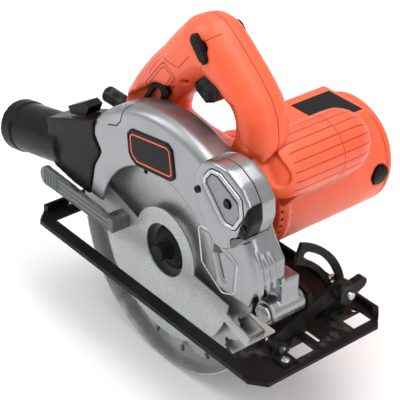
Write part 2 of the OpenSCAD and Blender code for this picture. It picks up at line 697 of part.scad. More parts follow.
// The grip is round in section: each layer further from the parting plane lies further in
grip_steps = [0, 0.3, 0.5, 0.65, 0.8, 0.9, 1];
function round_in(f) = grip_half * (1 - sqrt(1 - f * f));
module grip_layers(side, wall) for (k = [0:5]) {
    y0 = handle_y + side * (grip_half - wall) * grip_steps[k] - (k > 0 ? side * eps : 0);
    y1 = handle_y + side * (grip_half - wall) * grip_steps[k + 1];
    y_slab(min(y0, y1), max(y0, y1)) intersection() {
        handle_shape(wall + round_in((grip_steps[k] + grip_steps[k + 1]) / 2) * 0.9);
        above_base();
    }
}
trigger_travel = 6;
trigger_dir = [-0.45, 0, 0.89];
module trigger_slot() for (t = [0:2:trigger_travel]) translate(trigger_dir * t)
    y_slab(handle_y - trigger_half - 0.4,
        handle_y + trigger_half + 0.4) polygon(inset(trigger_outline, -0.4));
button_at = [12, 173];
module housing_cuts() {
    y_slab(case_y0, plate_y0 + plate_t) case_outline(0.2);
    trigger_slot();
    y_rod(5.5, 0, 80, button_at);
    pod_body(pod_r + 0.1);
    y_slab(rail_y - 1, rail_y + rail_t + 1) translate([pivot_x, 0]) sector(depth_r - rail_half - 1,
        depth_r + rail_half + 1, 130, 190);
    x_rod(lock_r + 0.4, -90, -20, lock_at[0], lock_at[1]);
    x_rod(gland_r, gland_x[0], gland_x[1] + 4, handle_y, gland_z);
}
module handle_right() color(orange) at_hub() difference() {
    union() {
        y_slab(half_near, handle_y) difference() {
            handle_shape(0);
            above_base();
        }
        intersection() {
            grip_layers(-1, 0);
            union() {
                y_slab(half_near, handle_y + 1) square(600, center = true);
                y_slab(grip_near - 1, half_near + eps) above_guard(0);
            }
        }
    }
    y_slab(half_near + plastic_wall, handle_y + 1) difference() {
        handle_shape(plastic_wall);
        above_base();
    }
    intersection() {
        grip_layers(-1, plastic_wall);
        union() {
            y_slab(half_near + plastic_wall, handle_y + 1) square(600, center = true);
            y_slab(grip_near, half_near + plastic_wall + 1) above_guard(plastic_wall);
        }
    }
    housing_cuts();
}
module handle_left() color(orange) at_hub() difference() {
    union() {
        y_slab(handle_y, grip_far) difference() {
            handle_shape(0);
            above_base();
        }
        grip_layers(1, 0);
    }
    y_slab(handle_y - 1, grip_far - plastic_wall) difference() {
        handle_shape(plastic_wall);
        above_base();
    }
    grip_layers(1, plastic_wall);
    y_slab(handle_y - 1, handle_y + 1) handle_shape(plastic_wall);
    housing_cuts();
    y_rod(14, 20, 60, motor_axis);
    for (s = screw_spots) {
        y_rod(2, 20, 60, s);
        y_rod(3.8, grip_far - 4, 60, s);
    }
}
gland_r = 7;
gland_z = 72;
gland_x = [-124, -89];
module cord_gland() color(black) at_hub() difference() {
    x_rod(gland_r, gland_x[0], gland_x[1], handle_y, gland_z);
    x_rod(4, gland_x[0] - 1, gland_x[1] + 1, handle_y, gland_z);
}
trigger_outline = [[-8, 148], [18, 154], [26, 142], [17, 128], [8, 124], [-4, 130]];
trigger_half = 9;
module trigger() color(black) at_hub() y_slab(handle_y - trigger_half,
    handle_y + trigger_half) polygon(trigger_outline);
module lock_off_button() color(black) at_hub() {
    y_rod(5.4, grip_near - 2.5, grip_far + 2.5, button_at);
}
module switch_module() color(grey) at_hub() box([-34, handle_y - 9, 136], [-14, handle_y + 9, 150]);
screw_spots = [[-58, 106], [-24, 160], [42, 156], [-60, 60], [57, 138]];
module housing_screws() color(steel) at_hub() {
    for (s = screw_spots) translate([s[0], grip_far - 4, s[1]]) rotate([-90, 0, 0]) cap_screw(1.9,
        3.6, 1.5, 12);
    for (s = case_screw_spots) translate([s[0], upper_back_y - upper_wall, s[1]]) rotate([90, 0,
        0]) cap_screw(1.9, 3.4, 1.2, 7);
}

module motor_tube(r, y0, y1) y_rod(r, y0, y1, motor_centre);
label_z = 88.5;
module motor_housing() color(orange) at_hub() difference() {
    union() {
        motor_tube(motor_r, motor_y0, motor_end - 12);
        motor_tube(motor_r + 1.5, motor_y0 + 6, motor_y0 + 10);
        y_slab(label_y0, label_y1) label_land(0);
    }
    motor_tube(motor_r - plastic_wall, motor_y0 + plastic_wall, motor_end - 11);
    y_slab(label_y0 + plastic_wall, label_y1 - plastic_wall) label_land(plastic_wall);
    y_rod(14, motor_y0 - 1, motor_end, motor_axis);
    brush_wells(8.3);
}
module motor_end_cap() color(orange) at_hub() {
    difference() {
        turned(motor_centre) polygon([[0, motor_end - 12], [motor_r, motor_end - 12],
            [motor_r, motor_end - 8],
            [motor_r - 8, motor_end], [0, motor_end]]);
        turned(motor_centre) polygon([[0, motor_end - 13], [motor_r - 3, motor_end - 13],
            [motor_r - 3, motor_end - 8],
            [motor_r - 9, motor_end - 3], [0, motor_end - 3]]);
    }
    y_slab(motor_end - 14, motor_end - 3 + eps) translate(motor_axis) difference() {
        circle(12);
        circle(9);
    }
}
label_y0 = 100;
label_y1 = 163;
// The flat land on top of the motor that carries the rating plate
module label_land(d) polygon(inset([[-14, 50], [-16, 72], [-8, label_z], [42, label_z], [56, 73],
    [60, 50]], d));
brush_y = motor_end - 21;
module brush_wells(r) for (s = [-1, 1]) translate([motor_axis[0],
    brush_y, motor_axis[1]]) rotate([0, 90 * s - 15, 0]) cylinder(r = r, h = 80);
module brush_caps() color(black) at_hub() intersection() {
    brush_wells(8);
    difference() {
        motor_tube(motor_r + 2, 100, motor_end);
        motor_tube(motor_r - 3, 90, motor_end + 1);
    }
}
module carbon_brushes() color(black) at_hub() for (s = [-1, 1]) translate([motor_axis[0],
    brush_y, motor_axis[1]])
    rotate([0, 90 * s - 15, 0]) translate([-3, -4, 13]) cube([6, 8, 14]);
stator_r = 28;
module stator() color(steel) at_hub() y_slab(80, 130) translate(motor_axis) difference() {
    circle(stator_r);
    circle(20);
}
module rating_plate() color(black) at_hub() box([2, 116, label_z], [40, 158, label_z + 0.6]);
pod_c = [67, 90];
pod_r = 26;
pod_y = [17, 128];
pod_low_z = 74;
module pod_body(r) {
    y_rod(r, pod_y[0] + pod_r, pod_y[1] - pod_r, pod_c);
    for (y = [pod_y[0] + pod_r, pod_y[1] - pod_r]) translate([pod_c[0], y, pod_c[1]]) sphere(r);
}
module front_handle() color(orange) at_hub() difference() {
    union() {
        pod_body(pod_r);
        y_slab(grip_far, pod_y[1] - 18) polygon([[30, 84], [56, 113], [90, 78], [66, 50]]);
    }
    pod_body(pod_r - plastic_wall);
    box([20, 0, 40], [120, motor_y0, pod_low_z]);
    motor_tube(motor_r + 0.1, grip_far - 1, 200);
    motor_tube(motor_r + 1.6, motor_y0 + 5.9, motor_y0 + 10.1);
    y_slab(label_y0 - 0.1, label_y1 + 0.1) label_land(-0.1);
}
module armature_shaft() color(steel) at_hub() {
    y_rod(shaft_r, gear_y0 + gear_t + 0.5, motor_end - 8, motor_axis);
    y_slab(gear_y0 + 0.5, gear_y0 + gear_t) translate(motor_axis) rotate(gear_line
        + 180 + 180 / pinion_teeth)
        gear_2d(pinion_teeth, pinion_r + gear_mod * 0.9, pinion_r - gear_mod * 1.1);
    y_rod(shaft_r, gear_y0 + gear_t - eps, gear_y0 + gear_t + 1, motor_axis);
}
module rotor_core() color(grey) at_hub() y_slab(80, 130) translate(motor_axis) difference() {
    circle(19);
    circle(shaft_r);
}
module commutator() color([0.72, 0.45, 0.2]) at_hub() y_slab(brush_y - 6,
    brush_y + 6) translate(motor_axis) difference() {
    circle(12);
    circle(shaft_r);
}
module motor_fan() color(black) at_hub() y_slab(62, 72) translate(motor_axis) difference() {
    union() {
        circle(14);
        for (i = [0:11]) rotate(i * 30) translate([12, -0.8]) square([14, 1.6]);
    }
    circle(shaft_r);
}
lock_r = 3;
lock_at = [gear_y0 + gear_t / 2, 8];
module spindle_lock() color(black) at_hub() {
    x_rod(lock_r, -66, -gear_r - gear_mod - 2, lock_at[0], lock_at[1]);
    x_rod(lock_r + 2.5, -66, -60, lock_at[0], lock_at[1]);
}
module depth_lever() color(black) at_hub() {
    y_rod(4 - fit, case_y0 + 0.2, rail_y + rail_t + 1, [pivot_x - depth_r, 0]);
    y_rod(9, rail_y + rail_t + 0.4, 27, [pivot_x - depth_r, 0]);
    y_slab(22.5, 28.5) bar2d([pivot_x - depth_r, 0], [-114, 55], 8, 7);
}

shoe_plate();
bevel_quadrant();
shoe_rivets();
front_bevel_ear();
rear_bevel_ear();
bevel_pins();
bevel_bracket();
depth_pin();
bevel_bolt();
bevel_lever();
rear_bracket();
depth_rail();
upper_guard();
chute_cap();
guard_badge();
laser_housing();
laser_cover();
laser_lens();
laser_module();
laser_switch();
laser_screws();
gear_case();
bearing_plate();
dust_port();
port_clip();
handle_right();
handle_left();
motor_housing();
motor_end_cap();
front_handle();
rating_plate();
brush_caps();
carbon_brushes();
stator();
ball_bearings();
cord_gland();
switch_module();
guard_retainer();
housing_screws();
lower_guard();
guard_lever();
guard_spring();
guard_rivets();
spindle();
drive_gear();
inner_flange();
saw_blade();
carbide_tips();
outer_flange();
blade_bolt();
armature_shaft();
rotor_core();
commutator();
motor_fan();
trigger();
lock_off_button();
spindle_lock();
depth_lever();
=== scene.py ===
# %% [markdown]
# # A hand-held circular saw
# The measured model comes first: every casing, shaft and screw already has its true size and place.
# This file then gives each piece the surface that the real one has. Cast and moulded pieces are
# worked over from a copy of the measured solid, because that keeps them exactly where they belong.

# %% Load the measured saw
import bmesh
import bpy
import math
import numpy as np
from mathutils import Matrix, Vector


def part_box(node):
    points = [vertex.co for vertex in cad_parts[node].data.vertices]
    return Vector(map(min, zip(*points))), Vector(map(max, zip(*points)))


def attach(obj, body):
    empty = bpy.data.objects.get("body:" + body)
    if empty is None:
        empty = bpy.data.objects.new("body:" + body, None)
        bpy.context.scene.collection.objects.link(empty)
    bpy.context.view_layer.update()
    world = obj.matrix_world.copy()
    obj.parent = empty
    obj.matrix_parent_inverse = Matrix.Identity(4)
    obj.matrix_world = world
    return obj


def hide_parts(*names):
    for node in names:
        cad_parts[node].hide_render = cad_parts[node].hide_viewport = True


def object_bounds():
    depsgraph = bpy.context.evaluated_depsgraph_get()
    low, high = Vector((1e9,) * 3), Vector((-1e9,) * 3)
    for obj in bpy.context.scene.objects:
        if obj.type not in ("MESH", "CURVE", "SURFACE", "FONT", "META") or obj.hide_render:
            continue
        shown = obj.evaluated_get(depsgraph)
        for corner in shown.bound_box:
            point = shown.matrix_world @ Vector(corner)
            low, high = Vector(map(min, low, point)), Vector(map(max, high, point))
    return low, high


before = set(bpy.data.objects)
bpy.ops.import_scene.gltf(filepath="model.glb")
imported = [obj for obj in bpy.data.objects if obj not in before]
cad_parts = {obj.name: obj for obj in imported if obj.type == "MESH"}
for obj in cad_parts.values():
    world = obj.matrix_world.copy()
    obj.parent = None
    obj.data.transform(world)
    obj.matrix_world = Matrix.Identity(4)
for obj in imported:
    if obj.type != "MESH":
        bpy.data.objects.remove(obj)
cad_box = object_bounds()

# %% [markdown]
# ## Landmarks
# Everything on a saw is laid out from the blade's axis, so its centre is read once from the blade
# itself. Places below are then written in millimetres forward, across and up from that centre.

# %% The blade's centre and the parting plane of the handle
low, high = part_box("saw_blade")
HUB = (low + high) / 2
MM = 0.001


def at(x, y, z):
    return HUB + Vector((x, y, z)) * MM


PARTING = round((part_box("handle_left")[0].y - HUB.y) / MM)
print("blade axis at", [round(c, 4) for c in HUB], "parting plane", PARTING, "mm across")

# %% [markdown]
# ## Camera
# A long lens well away from the saw keeps the ellipses of the guards gentle. The camera stands
# in front, on the blade side, and is rolled by two degrees, as a hand-levelled one would be.

# %% Camera
AZIMUTH, ELEVATION, ROLL = 48.98, 32.29, 2.18
CAMERA_AT = Vector((0.6920, -0.6067, 0.6462))


def camera_matrix(azimuth, elevation, roll, place):
    a, e, r = (math.radians(v) for v in (azimuth, elevation, roll))
    back = Vector((math.sin(a) * math.cos(e), -math.cos(a) * math.cos(e), math.sin(e)))
    right = Vector((math.cos(a), math.sin(a), 0))
    up = back.cross(right)
    side = right * math.cos(r) + up * math.sin(r)
    top = up * math.cos(r) - right * math.sin(r)
    turned = Matrix((side, top, back)).transposed().to_4x4()
    return Matrix.Translation(place) @ turned


lens = bpy.data.cameras.new("studio_camera")
lens.lens = 125.67
lens.sensor_width = 36
lens.clip_end = 20
camera = bpy.data.objects.new("studio_camera", lens)
camera.matrix_world = camera_matrix(AZIMUTH, ELEVATION, ROLL, CAMERA_AT)
bpy.context.scene.collection.objects.link(camera)
bpy.context.scene.camera = camera
print("camera at", [round(c, 3) for c in camera.location])

# %% [markdown]
# ## Light and floor
# Bright metal shows its surroundings more than its own colour. The sky is paler overhead than at
# the horizon, and three wide soft panels give the castings long pale reflections, so the gaps
# between them draw the edges. The floor is plain and pale.

# %% Floor, sky and soft panels
floor_mesh = bpy.data.meshes.new("floor")
FLOOR_HALF = 6
FLOOR_Z = cad_box[0][2] - 0.0005
corners = [(x * FLOOR_HALF, y * FLOOR_HALF, FLOOR_Z) for x, y in ((-1, -1), (1, -1), (1, 1), (-1, 1))]
floor_mesh.from_pydata(corners, [], [(0, 1, 2, 3)])
floor = bpy.data.objects.new("floor", floor_mesh)
bpy.context.scene.collection.objects.link(floor)

sky = bpy.data.worlds.new("studio")
sky.use_nodes = True
bpy.context.scene.world = sky
bpy.context.scene.view_settings.view_transform = "Standard"
HORIZON, ZENITH = 0.62, 1.12
LOW_SKY, HIGH_SKY = 0.35, 0.9
upward = sky.node_tree.nodes.new("ShaderNodeSeparateXYZ")
where = sky.node_tree.nodes.new("ShaderNodeTexCoord")
rise = sky.node_tree.nodes.new("ShaderNodeMapRange")
rise.interpolation_type = "SMOOTHSTEP"
for key, number in zip(("From Min", "From Max", "To Min", "To Max"), (LOW_SKY, HIGH_SKY, HORIZON, ZENITH)):
    rise.inputs[key].default_value = number
background = sky.node_tree.nodes["Background"]
background.inputs["Color"].default_value = (1, 1, 1, 1)
sky.node_tree.links.new(where.outputs["Generated"], upward.inputs[0])
sky.node_tree.links.new(upward.outputs["Z"], rise.inputs["Value"])
sky.node_tree.links.new(rise.outputs["Result"], background.inputs["Strength"])


def soft_panel(name, place, target, width, height, watts):
    data = bpy.data.lights.new(name, "AREA")
    data.shape = "RECTANGLE"
    data.size, data.size_y, data.energy = width, height, watts
    panel = bpy.data.objects.new(name, data)
    aim = (Vector(place) - Vector(target)).to_track_quat("Z", "Y")
    panel.matrix_world = Matrix.Translation(place) @ aim.to_matrix().to_4x4()
    bpy.context.scene.collection.objects.link(panel)
    return panel


MIDDLE = (0, 0.03, 0.06)
soft_panel("panel_over", (0.1, 0.1, 1.4), MIDDLE, 1.3, 1.0, 11)
soft_panel("panel_front", (1.3, 0.1, 0.7), MIDDLE, 0.35, 1.1, 3.5)
soft_panel("panel_side", (-0.85, -0.72, 0.8), MIDDLE, 0.4, 0.9, 4)
print("three panels and a floor at", round(FLOOR_Z, 4))

# %% [markdown]
# ## Materials
# One helper starts every finish: a Principled shader whose pattern reads Object coordinates, so it
# stays put when a piece moves. Each finish then adds its own grain, change of tone, and wear.

# %% A finish and its patterns


class Finish:
    """A material with a Principled shader and a few short ways to add to it."""

    def __init__(self, name, colour, metallic=0.0, roughness=0.5):
        self.material = bpy.data.materials.new(name)
        self.material.use_nodes = True
        self.tree = self.material.node_tree
        self.shader = self.tree.nodes["Principled BSDF"]
        self.shader.inputs["Base Color"].default_value = (*colour, 1)
        self.shader.inputs["Metallic"].default_value = metallic
        self.shader.inputs["Roughness"].default_value = roughness
        self.place = self.tree.nodes.new("ShaderNodeTexCoord").outputs["Object"]
        self.colour = None
        self.normal = None

    def node(self, kind, **settings):
        made = self.tree.nodes.new(kind)
        for key, value in settings.items():
            setattr(made, key, value)
        return made

    def link(self, source, target):
        self.tree.links.new(source, target)

    def noise(self, scale, detail=3.0, stretch=(1, 1, 1)):
        mapping = self.node("ShaderNodeMapping")
        mapping.inputs["Scale"].default_value = stretch
        self.link(self.place, mapping.inputs["Vector"])
        noise = self.node("ShaderNodeTexNoise")
        noise.inputs["Scale"].default_value = scale
        noise.inputs["Detail"].default_value = detail
        self.link(mapping.outputs["Vector"], noise.inputs["Vector"])
        return noise.outputs["Fac"]

    def spread(self, value, low, high, to_low=0.0, to_high=1.0):
        ramp = self.node("ShaderNodeMapRange", interpolation_type="SMOOTHSTEP")
        self.link(value, ramp.inputs["Value"])
        for key, number in zip(("From Min", "From Max", "To Min", "To Max"), (low, high, to_low, to_high)):
            ramp.inputs[key].default_value = number
        return ramp.outputs["Result"]

    def maths(self, operation, a, b=None, c=None):
        step = self.node("ShaderNodeMath", operation=operation)
        for socket, value in zip(step.inputs, (a, b, c)):
            if value is None:
                continue
            if isinstance(value, (int, float)):
                socket.default_value = value
            else:
                self.link(value, socket)
        return step.outputs[0]

    def tint(self, mask, colour):
        """Lays a colour over the finish wherever the mask is 1."""
        mix = self.node("ShaderNodeMix", data_type="RGBA")
        self.link(mask, mix.inputs["Factor"])
        if self.colour is None:
            mix.inputs[6].default_value = self.shader.inputs["Base Color"].default_value
        else:
            self.link(self.colour, mix.inputs[6])
        mix.inputs[7].default_value = (*colour, 1)
        self.colour = mix.outputs[2]
        self.link(self.colour, self.shader.inputs["Base Color"])

    def bump(self, height, depth, strength=1.0):
        """Raises the surface by the height value, up to the depth in metres."""
        bump = self.node("ShaderNodeBump")
        bump.inputs["Distance"].default_value = depth
        bump.inputs["Strength"].default_value = strength
        self.link(height, bump.inputs["Height"])
        if self.normal is not None:
            self.link(self.normal, bump.inputs["Normal"])
        self.normal = bump.outputs["Normal"]
        self.link(self.normal, self.shader.inputs["Normal"])

    def vary_roughness(self, value, low, high):
        self.link(self.spread(value, 0.3, 0.7, low, high), self.shader.inputs["Roughness"])

    def worn_edges(self, colour, start=0.53, end=0.58):
        edge = self.node("ShaderNodeNewGeometry").outputs["Pointiness"]
        scratches = self.spread(self.noise(160, 4), 0.4, 0.65)
        self.tint(self.maths("MULTIPLY", self.spread(edge, start, end), scratches), colour)

    def axis(self, name):
        split = self.node("ShaderNodeSeparateXYZ")
        self.link(self.place, split.inputs[0])
        return split.outputs[name]

    def places(self):
        """Millimetres forward, across and up from the blade's centre, as three fields."""
        return [(Field(self, self.axis(n)) - c) / MM for n, c in zip("XYZ", HUB)]


print("Finish can:", ", ".join(n for n in vars(Finish) if not n.startswith("_")))

# %% [markdown]
# ### Numbers that change over a surface
# A groove or a seam is a place where some distance is nearly zero. Written with shader nodes such a
# distance is hard to read, so a small class lets the nodes be written as ordinary arithmetic.

# %% Fields


class Field:
    """A number that changes over the surface and takes the ordinary signs of arithmetic."""

    def __init__(self, finish, socket):
        self.finish, self.socket = finish, socket

    def step(self, operation, *others):
        values = [v.socket if isinstance(v, Field) else v for v in others]
        return Field(self.finish, self.finish.maths(operation, *values))

    def __add__(self, other):
        return self.step("ADD", self, other)

    def __sub__(self, other):
        return self.step("SUBTRACT", self, other)

    def __mul__(self, other):
        return self.step("MULTIPLY", self, other)

    def __truediv__(self, other):
        return self.step("MULTIPLY", self, 1 / other)

    def __abs__(self):
        return self.step("ABSOLUTE", self)

    def above(self, other):
        return self.step("MAXIMUM", self, other)

    def below(self, other):
        return self.step("MINIMUM", self, other)

    def between(self, low, high, to_low=0.0, to_high=1.0):
        """Eases from one value to another while the field passes from low to high."""
        return Field(self.finish, self.finish.spread(self.socket, low, high, to_low, to_high))

    def line(self, width, soft=0.35):
        """1 along the places where the field is zero, fading at the sides."""
        return abs(self).between(width / 2, width / 2 + soft, 1.0, 0.0)


print("Field can:", ", ".join(n for n in vars(Field) if not n.startswith("_")))

# %% [markdown]
# ### Distances from strokes and outlines
# Two shapes are enough for all the lines on this saw: a straight stroke, and a closed outline whose
# corners all turn the same way. The outline's distance is the furthest of its sides' distances,
# taken with a smooth maximum where the corners are to be round.

# %% Strokes and outlines


def length(a, b):
    return (a * a + b * b).step("SQRT", a * a + b * b)


def from_segment(x, z, start, end):
    """Distance from a straight stroke between two points."""
    dx, dz = end[0] - start[0], end[1] - start[1]
    along = ((x - start[0]) * dx + (z - start[1]) * dz) * (1 / (dx * dx + dz * dz))
    along = along.above(0.0).below(1.0)
    return length(x - start[0] - along * dx, z - start[1] - along * dz)


def from_outline(x, z, corners, rounding=0.01):
    """Distance from a convex outline, below zero inside it, with rounded corners."""
    ends = corners[1:] + corners[:1]
    turn = sum(a[0] * b[1] - b[0] * a[1] for a, b in zip(corners, ends))
    furthest = None
    for a, b in zip(corners, ends):
        size = math.copysign(math.dist(a, b), turn)
        across, up = (b[1] - a[1]) / size, (a[0] - b[0]) / size
        side = x * across + z * up - (a[0] * across + a[1] * up)
        furthest = side if furthest is None else furthest.step("SMOOTH_MAX", furthest, side, rounding)
    return furthest


print("shapes: a stroke and a convex outline")

# %% [markdown]
# ### Orange moulded plastic
# Glass-filled nylon is slightly cloudy in tone, with a fine spark-eroded grain and soft gloss. A
# flat orange would look like paint, so its tone drifts and a little light enters the surface.

# %% Orange casing


def moulded(name, colour, paler, darker, roughness, grain=1400, depth=0.00006):
    finish = Finish(name, colour, 0.0, roughness)
    cloud = finish.noise(18, 2)
    finish.tint(finish.spread(cloud, 0.5, 0.75, 0, 0.35), paler)
    finish.tint(finish.spread(cloud, 0.5, 0.28, 0, 0.35), darker)
    finish.vary_roughness(finish.noise(60, 3), roughness - 0.06, roughness + 0.08)
    finish.bump(finish.noise(grain, 2), depth)
    return finish


def matted(finish):
    """Weakens the mirror part of a dark finish, so that it stays dark under a pale sky."""
    finish.shader.inputs["Specular IOR Level"].default_value = 0.1


def carve(finish, mask, depth, colour, amount=0.8):
    """Sinks the surface under a mask and shades the sunk part."""
    finish.bump((mask * -1.0).socket, depth)
    finish.tint((mask * amount).socket, colour)


def orange_plastic(name):
    finish = moulded(name, (0.87, 0.105, 0.032), (0.92, 0.14, 0.055), (0.78, 0.075, 0.025), 0.4)
    finish.shader.inputs["Subsurface Weight"].default_value = 0.08
    finish.shader.inputs["Subsurface Radius"].default_value = (0.004, 0.0015, 0.0008)
    finish.shader.inputs["Coat Weight"].default_value = 0.1
    finish.shader.inputs["Coat Roughness"].default_value = 0.35
    return finish


SHADE = (0.4, 0.022, 0.012)
SHEEN = (0.93, 0.2, 0.12)
orange = orange_plastic("orange_nylon")
print("orange:", orange.material.name)

# %% [markdown]
# ### Black and grey plastics
# Black mouldings show their shape only through gloss, so their mirror part is weakened until the
# edges alone catch the light. The grey lever has long flutes, where a sine of the height gives
# evenly spaced lines without a list of places.

# %% Black casing and grey lever
# Near-black for two uses: the dark of seams where parts meet, and painted shade in the lever's flutes.
JOINT_DARK_AND_GROOVE_SHADE = (0.02, 0.02, 0.02)
FLUTE_PITCH = 4.4


def ripple(field, pitch, low, high):
    """A mask of even stripes across a field."""
    phase = field * (2 * math.pi / pitch)
    return phase.step("SINE", phase).between(low, high)


black = moulded("black_nylon", (0.008, 0.0062, 0.0056), (0.013, 0.01, 0.009), (0.005, 0.004, 0.0035), 0.3)
matted(black)
black.worn_edges((0.04, 0.038, 0.036), 0.57, 0.66)
lever_grey = moulded("grey_nylon", (0.085, 0.095, 0.097), (0.12, 0.13, 0.13), (0.05, 0.06, 0.06), 0.3)
x, y, z = lever_grey.places()
flutes = ripple(z, FLUTE_PITCH, 0.5, 0.95) * x.between(-122, -116) * x.between(-52, -48, 1, 0)
# The near-black in the flutes is painted shade in the grooves.
carve(lever_grey, flutes, 0.0006, JOINT_DARK_AND_GROOVE_SHADE, 0.7)
lever_grey.worn_edges((0.26, 0.28, 0.28), 0.56, 0.64)
print("plastics:", [m.name for m in bpy.data.materials][-3:])

# %% [markdown]
# ### The handle's lines
# A moulding carries lines that no separate piece makes: the parting line of its halves, a raised
# pad, finger ribs, a stippled patch. They are drawn from distances measured in the material, which
# is lighter than carving them into the mesh and stays sharp at any size.

# %% Handle finish
handle_orange = orange_plastic("handle_orange")
x, y, z = handle_orange.places()
RIB_CENTRE_Z, RIB_PITCH = 108, 3.6
flank = abs(y - PARTING).between(7, 10)
pad = from_outline(x, z, [(-36, 112), (-15, 138), (-29, 147), (-52, 118)], 7)
swing = length(x, z - RIB_CENTRE_Z)
heel = from_outline(x, z, [(-52, 109), (-42, 126), (-33, 142), (-40, 166), (-62, 150), (-84, 108)])
ribs = ripple(swing, RIB_PITCH, 0.1, 0.95) * pad.between(2, 3.5) * heel.between(-2, 0, 1, 0)
carve(handle_orange, ribs, 0.0009, SHADE, 0.55)
stipple = from_outline(x, z, [(-40, 143), (-22, 149), (-8, 172), (-20, 190), (-70, 180), (-50, 150)])
speck = Field(handle_orange, handle_orange.noise(900, 1)).between(0.48, 0.62)
handle_orange.tint((speck * stipple.between(-1.5, 0, 0.55, 0)).socket, SHEEN)
handle_orange.bump((speck * stipple.between(-1.5, 0, 1, 0)).socket, 0.00015)
SEAMS = (((31, 193), (13, 178)), ((12, 156), (17, 164)), ((-12, 148), (0, 162)), ((-31, 149), (-14, 148)))
seams = (y - PARTING).line(0.5)
for start, end in SEAMS:
    seams = seams.above(from_segment(x, z, start, end).line(0.35) * flank)
seams = seams.above((pad.line(0.7) * flank).above((pad + 2.6).line(0.3) * flank))
carve(handle_orange, seams, 0.0006, SHADE)
print("handle finish nodes:", len(handle_orange.tree.nodes))

# %% [markdown]
# ### The front grip's lines
# Shallow grooves run along the grip so that a sweating hand doesn't slip. Their spacing is an angle
# about the grip's axis, so the distance to the nearest one is a rounded-off division.

# %% Front grip finish
GRIP_CENTRE = (67, 90)
GRIP_RADIUS = 26
grip_orange = orange_plastic("grip_orange")
x, y, z = grip_orange.places()
turn = (z - GRIP_CENTRE[1]).step("ARCTAN2", z - GRIP_CENTRE[1], x - GRIP_CENTRE[0]) * (180 / math.pi)
GROOVE_PITCH = 17.0
share = turn * (1 / GROOVE_PITCH)
nearest = share.step("ROUND", share)
grooves = ((turn - nearest * GROOVE_PITCH) * (math.pi / 180 * GRIP_RADIUS)).line(0.5, 0.5)
grooves = grooves * turn.between(-22, -18) * turn.between(122, 126, 1, 0)
grooves = grooves * y.between(36, 38) * y.between(116, 118, 1, 0)
carve(grip_orange, grooves.above((y - 86).line(0.4)), 0.0006, SHADE)
print("orange finishes:", orange.material.name, handle_orange.material.name, grip_orange.material.name)

# %% [markdown]
# ### Cast metal
# The guard is a tumbled aluminium casting, so it is smooth but softly uneven. One function serves
# all the castings, since they differ only in polish and grain.

# %% Castings


def casting(name, paler, smoothest, roughest, grain):
    finish = Finish(name, (0.31, 0.32, 0.33), 0.92, 0.28)
    finish.tint(finish.spread(finish.noise(14, 3), 0.45, 0.75, 0, 0.5), paler)
    finish.vary_roughness(finish.noise(45, 4), smoothest, roughest)
    finish.bump(finish.noise(900, 3), grain)
    return finish


cast = casting("cast_aluminium", (0.38, 0.39, 0.4), 0.24, 0.38, 0.00004)
cast.bump(cast.noise(38, 2), 0.00025, 0.5)
cast.worn_edges((0.6, 0.61, 0.62), 0.56, 0.64)

print("casting:", cast.material.name)

# %% [markdown]
# ### Pressed sheet
# The lower guard is sprayed with a sparkling lacquer: one fine noise makes pale flakes and another
# dark pits. The shoe is blackened, with a very slight change of tone and rubbed edges.

# %% Sparkling guard sheet and blackened shoe sheet
sparkle = Finish("sparkle_steel", (0.36, 0.38, 0.375), 0.6, 0.38)
sparkle.tint(sparkle.spread(sparkle.noise(1500, 2), 0.42, 0.6), (0.5, 0.52, 0.515))
sparkle.tint(sparkle.spread(sparkle.noise(2300, 1), 0.6, 0.72), (0.2, 0.21, 0.21))
sparkle.vary_roughness(sparkle.noise(70, 3), 0.3, 0.46)
sparkle.bump(sparkle.noise(1500, 2), 0.00006)

blackened = Finish("blackened_steel", (0.009, 0.0075, 0.007), 0.0, 0.42)
blackened.tint(blackened.spread(blackened.noise(22, 4), 0.5, 0.8, 0, 0.6), (0.014, 0.012, 0.011))
blackened.vary_roughness(blackened.noise(90, 4), 0.33, 0.52)
blackened.bump(blackened.noise(700, 3), 0.00008)
matted(blackened)
blackened.worn_edges((0.05, 0.047, 0.045), 0.58, 0.68)

print("sheets:", sparkle.material.name, blackened.material.name)

# %% [markdown]
# ### Turned and ground steel
# A lathe leaves fine rings, so the grain of turned pieces is stretched across the axis. The blade's
# sides are sand-blasted, which looks like a finer copy of the guard's sparkle.

# %% Turned pins and the blade
turned = Finish("turned_steel", (0.5, 0.51, 0.52), 0.95, 0.28)
turned.tint(turned.spread(turned.noise(30, 3), 0.45, 0.7, 0, 0.5), (0.46, 0.47, 0.48))
turned.vary_roughness(turned.noise(200, 3), 0.22, 0.36)
turned.bump(turned.noise(600, 3, (1, 12, 1)), 0.00003)

blade_steel = Finish("ground_steel", (0.34, 0.35, 0.35), 0.85, 0.4)
blade_steel.tint(blade_steel.spread(blade_steel.noise(1400, 2), 0.42, 0.6, 0, 0.8), (0.5, 0.52, 0.515))
blade_steel.tint(blade_steel.spread(blade_steel.noise(2200, 1), 0.6, 0.72, 0, 0.7), (0.2, 0.21, 0.21))
blade_steel.tint(blade_steel.spread(blade_steel.noise(40, 4), 0.5, 0.8, 0, 0.4), (0.3, 0.31, 0.31))
blade_steel.bump(blade_steel.noise(900, 2, (1, 1, 8)), 0.00003)

print("steels:", turned.material.name, blade_steel.material.name)

# %% [markdown]
# ### Small finishes
# The tooth tips, the commutator, the label plates, the lens and the floor each need only a colour,
# a gloss and a little grain, because they are small or plain.

# %% Tips, plates, lens and floor
sprayed = Finish("sprayed_grey", (0.23, 0.24, 0.25), 0.6, 0.42)
sprayed.tint(sprayed.spread(sprayed.noise(1500, 2), 0.45, 0.65, 0, 0.5), (0.36, 0.38, 0.39))
sprayed.bump(sprayed.noise(1200, 2), 0.00004)

carbide = Finish("carbide", (0.2, 0.2, 0.21), 0.8, 0.35)
carbide.bump(carbide.noise(1200, 2), 0.00004)

copper = Finish("copper", (0.7, 0.33, 0.17), 0.95, 0.3)
copper.tint(copper.spread(copper.noise(80, 3), 0.5, 0.7), (0.45, 0.2, 0.1))

